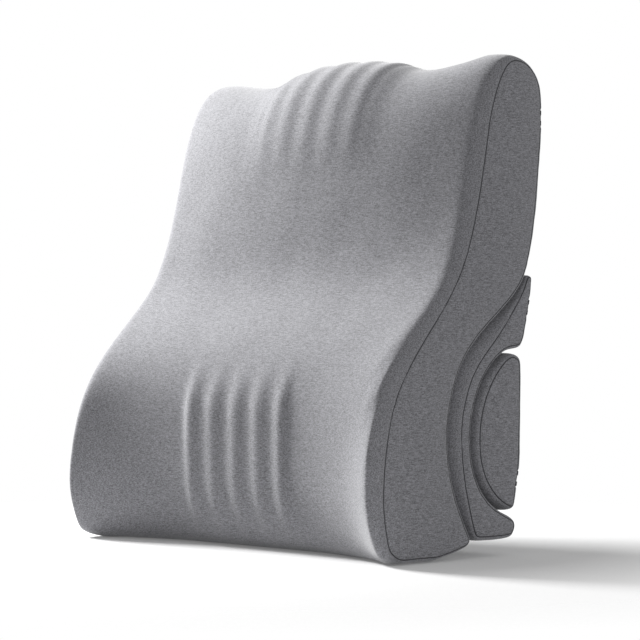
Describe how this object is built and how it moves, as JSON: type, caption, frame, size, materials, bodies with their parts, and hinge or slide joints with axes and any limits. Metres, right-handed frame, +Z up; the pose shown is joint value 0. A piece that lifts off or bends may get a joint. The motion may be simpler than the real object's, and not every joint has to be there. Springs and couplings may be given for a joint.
{
  "type": "lumbar support cushion",
  "caption": "Contoured foam lumbar cushion for an office chair, in a zipped knit cover, with two nested pads behind it that pull off to set its depth.",
  "frame": {"origin": "on the floor, under the middle of the whole cushion", "axes": "+Z up the cushion, +X across its width to the right of someone who faces its front, -Y the side that the sitter's back meets"},
  "size_m": [0.3828, 0.2088, 0.409],
  "materials": {
    "knit": "matte",
    "side_knit": "matte",
    "foam": "matte",
    "zip_tape": "matte",
    "hook_and_loop": "matte",
    "zip_teeth": "satin",
    "zip_metal": "satin"
  },
  "bodies": {
    "cushion": {"cushion_foam_core": "foam", "cushion_front_panel": "knit", "cushion_back_panel": "knit", "cushion_base_panel": "knit", "cushion_side_panel_left": "side_knit", "cushion_side_panel_right": "side_knit", "cushion_loop_strip_left": "hook_and_loop", "cushion_loop_strip_right": "hook_and_loop", "cushion_zip_tape_upper": "zip_tape", "cushion_zip_tape_lower": "zip_tape", "cushion_zip_teeth": "zip_teeth", "cushion_zip_stop_left": "zip_metal", "cushion_zip_stop_right": "zip_metal"},
    "cushion_zip_slider": {"cushion_zip_slider": "zip_metal"},
    "cushion_zip_pull": {"cushion_zip_pull": "zip_metal"},
    "outer_pad": {"outer_pad_foam_core": "foam", "outer_pad_front_panel": "knit", "outer_pad_rear_panel": "knit", "outer_pad_base_panel": "knit", "outer_pad_side_panel_left": "side_knit", "outer_pad_side_panel_right": "side_knit", "outer_pad_hook_strip_left": "hook_and_loop", "outer_pad_loop_strip_left": "hook_and_loop", "outer_pad_hook_strip_right": "hook_and_loop", "outer_pad_loop_strip_right": "hook_and_loop", "outer_pad_zip_tape_upper": "zip_tape", "outer_pad_zip_tape_lower": "zip_tape", "outer_pad_zip_teeth": "zip_teeth", "outer_pad_zip_stop_left": "zip_metal", "outer_pad_zip_stop_right": "zip_metal"},
    "outer_pad_zip_slider": {"outer_pad_zip_slider": "zip_metal"},
    "outer_pad_zip_pull": {"outer_pad_zip_pull": "zip_metal"},
    "inner_pad": {"inner_pad_foam_core": "foam", "inner_pad_front_panel": "knit", "inner_pad_rear_panel": "knit", "inner_pad_side_panel_left": "side_knit", "inner_pad_side_panel_right": "side_knit", "inner_pad_hook_strip_left": "hook_and_loop", "inner_pad_hook_strip_right": "hook_and_loop", "inner_pad_zip_tape_upper": "zip_tape", "inner_pad_zip_tape_lower": "zip_tape", "inner_pad_zip_teeth": "zip_teeth", "inner_pad_zip_stop_left": "zip_metal", "inner_pad_zip_stop_right": "zip_metal"},
    "inner_pad_zip_slider": {"inner_pad_zip_slider": "zip_metal"},
    "inner_pad_zip_pull": {"inner_pad_zip_pull": "zip_metal"}
  },
  "joints": [
    {"name": "outer_pad_slide", "type": "slide", "parent": "cushion", "child": "outer_pad", "axis": [0, 1, 0], "range_m": [0, 0.12]},
    {"name": "inner_pad_slide", "type": "slide", "parent": "outer_pad", "child": "inner_pad", "axis": [0, 1, 0], "range_m": [0, 0.08]},
    {"name": "cushion_zip_slide", "type": "slide", "parent": "cushion", "child": "cushion_zip_slider", "axis": [1, 0, 0], "range_m": [0, 0.3091]},
    {"name": "cushion_zip_pull_hinge", "type": "hinge", "parent": "cushion_zip_slider", "child": "cushion_zip_pull", "pos_m": [-0.15454, 0.10268, 0.34933], "axis": [0, 0.0389, 0.9992], "range_deg": [0, 180]},
    {"name": "outer_pad_zip_slide", "type": "slide", "parent": "outer_pad", "child": "outer_pad_zip_slider", "axis": [1, 0, 0], "range_m": [0, 0.3092]},
    {"name": "outer_pad_zip_pull_hinge", "type": "hinge", "parent": "outer_pad_zip_slider", "child": "outer_pad_zip_pull", "pos_m": [-0.1546, 0.084, 0.19542], "axis": [0, 0.2425, 0.9701], "range_deg": [0, 180]},
    {"name": "inner_pad_zip_slide", "type": "slide", "parent": "inner_pad", "child": "inner_pad_zip_slider", "axis": [1, 0, 0], "range_m": [0, 0.3146]},
    {"name": "inner_pad_zip_pull_hinge", "type": "hinge", "parent": "inner_pad_zip_slider", "child": "inner_pad_zip_pull", "pos_m": [-0.15732, 0.06753, 0.05956], "axis": [0, 0.2118, 0.9773], "range_deg": [0, 180]}
  ]
}
